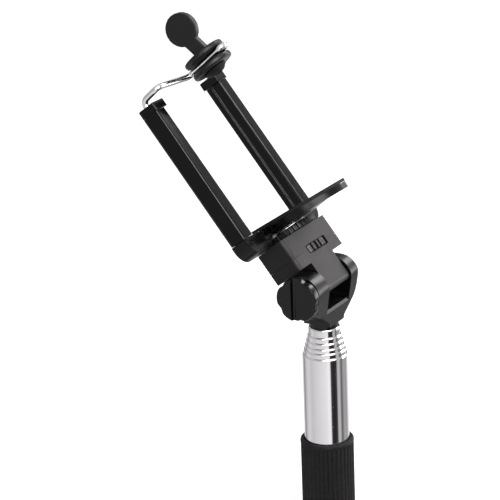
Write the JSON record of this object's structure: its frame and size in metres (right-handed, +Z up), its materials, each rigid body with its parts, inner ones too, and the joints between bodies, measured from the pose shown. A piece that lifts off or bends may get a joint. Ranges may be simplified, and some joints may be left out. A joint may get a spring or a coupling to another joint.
{
  "type": "selfie stick",
  "caption": "Telescopic selfie stick with a tilting fork head, a tripod screw block with a thumbwheel and a sprung phone clamp on a wire bail.",
  "frame": {"origin": "centre of the end cap's flat bottom face, on the stick's axis", "axes": "+Z up the stick; the head's pivot lies along X with its wing nut at -X; the clamp faces -Y"},
  "size_m": [0.0572, 0.0751, 0.2978],
  "materials": {
    "rubber": "matte",
    "chrome": "polished",
    "steel": "satin",
    "matte_black": "matte",
    "satin_grey": "satin",
    "gloss_black": "gloss",
    "brass": "satin"
  },
  "bodies": {
    "handle": {"end_cap": "matte_black", "grip_sleeve": "rubber", "outer_tube": "chrome"},
    "section_1": {"tube_section_1": "chrome", "section_bush_1": "matte_black"},
    "section_2": {"tube_section_2": "chrome", "section_bush_2": "matte_black"},
    "section_3": {"tube_section_3": "chrome", "section_bush_3": "matte_black"},
    "section_4": {"tube_section_4": "chrome", "section_bush_4": "matte_black"},
    "section_5": {"tube_section_5": "chrome", "section_bush_5": "matte_black", "fork": "matte_black", "pivot_bolt": "steel", "friction_washer_left": "steel", "friction_washer_right": "steel", "nut_washer": "steel"},
    "wing": {"wing_nut": "matte_black"},
    "head": {"head_body": "satin_grey", "head_cover": "satin_grey", "cover_screw_left": "steel", "cover_screw_right": "steel"},
    "wheel": {"thumbwheel": "matte_black", "tripod_screw": "steel"},
    "ring": {"lock_ring": "matte_black", "top_washer": "chrome"},
    "clamp": {"clamp_base": "gloss_black", "shelf_pad": "rubber", "threaded_insert": "brass", "prong_left": "gloss_black", "prong_right": "gloss_black", "prong_cap_left": "gloss_black", "prong_cap_right": "gloss_black", "clamp_spring_left": "steel", "clamp_spring_right": "steel"},
    "jaw": {"bail_slider_left": "matte_black", "bail_slider_right": "matte_black", "wire_bail": "chrome", "pull_tab": "matte_black", "jaw_plate": "matte_black", "jaw_pad": "rubber", "jaw_screw": "steel"}
  },
  "joints": [
    {"name": "section_1_slide", "type": "slide", "parent": "handle", "child": "section_1", "axis": [0, 0, 1], "range_m": [0, 0.14]},
    {"name": "section_2_slide", "type": "slide", "parent": "section_1", "child": "section_2", "axis": [0, 0, 1], "range_m": [0, 0.14]},
    {"name": "section_3_slide", "type": "slide", "parent": "section_2", "child": "section_3", "axis": [0, 0, 1], "range_m": [0, 0.14]},
    {"name": "section_4_slide", "type": "slide", "parent": "section_3", "child": "section_4", "axis": [0, 0, 1], "range_m": [0, 0.14]},
    {"name": "section_5_slide", "type": "slide", "parent": "section_4", "child": "section_5", "axis": [0, 0, 1], "range_m": [0, 0.14]},
    {"name": "head_tilt", "type": "hinge", "parent": "section_5", "child": "head", "pos_m": [0, 0, 0.2015], "axis": [1, 0, 0], "range_deg": [-51, 129]},
    {"name": "wing_nut_turn", "type": "hinge", "parent": "section_5", "child": "wing", "pos_m": [-0.019, 0, 0.2015], "axis": [1, 0, 0], "continuous": true},
    {"name": "thumbwheel_turn", "type": "hinge", "parent": "head", "child": "wheel", "pos_m": [0.00174, 0.00818, 0.21161], "axis": [0, 0.629, 0.7774], "continuous": true},
    {"name": "lock_ring_turn", "type": "hinge", "parent": "head", "child": "ring", "pos_m": [0.00174, 0.01447, 0.21938], "axis": [0, 0.629, 0.7774], "continuous": true},
    {"name": "clamp_swivel", "type": "hinge", "parent": "head", "child": "clamp", "pos_m": [0.00174, 0.01573, 0.22093], "axis": [0, 0.629, 0.7774], "continuous": true},
    {"name": "jaw_slide", "type": "slide", "parent": "clamp", "child": "jaw", "axis": [0, 0.629, 0.7774], "range_m": [0, 0.026], "stiffness_N_per_m": 180, "springref_m": -0.015, "deforming": ["clamp_spring_left", "clamp_spring_right"]}
  ]
}
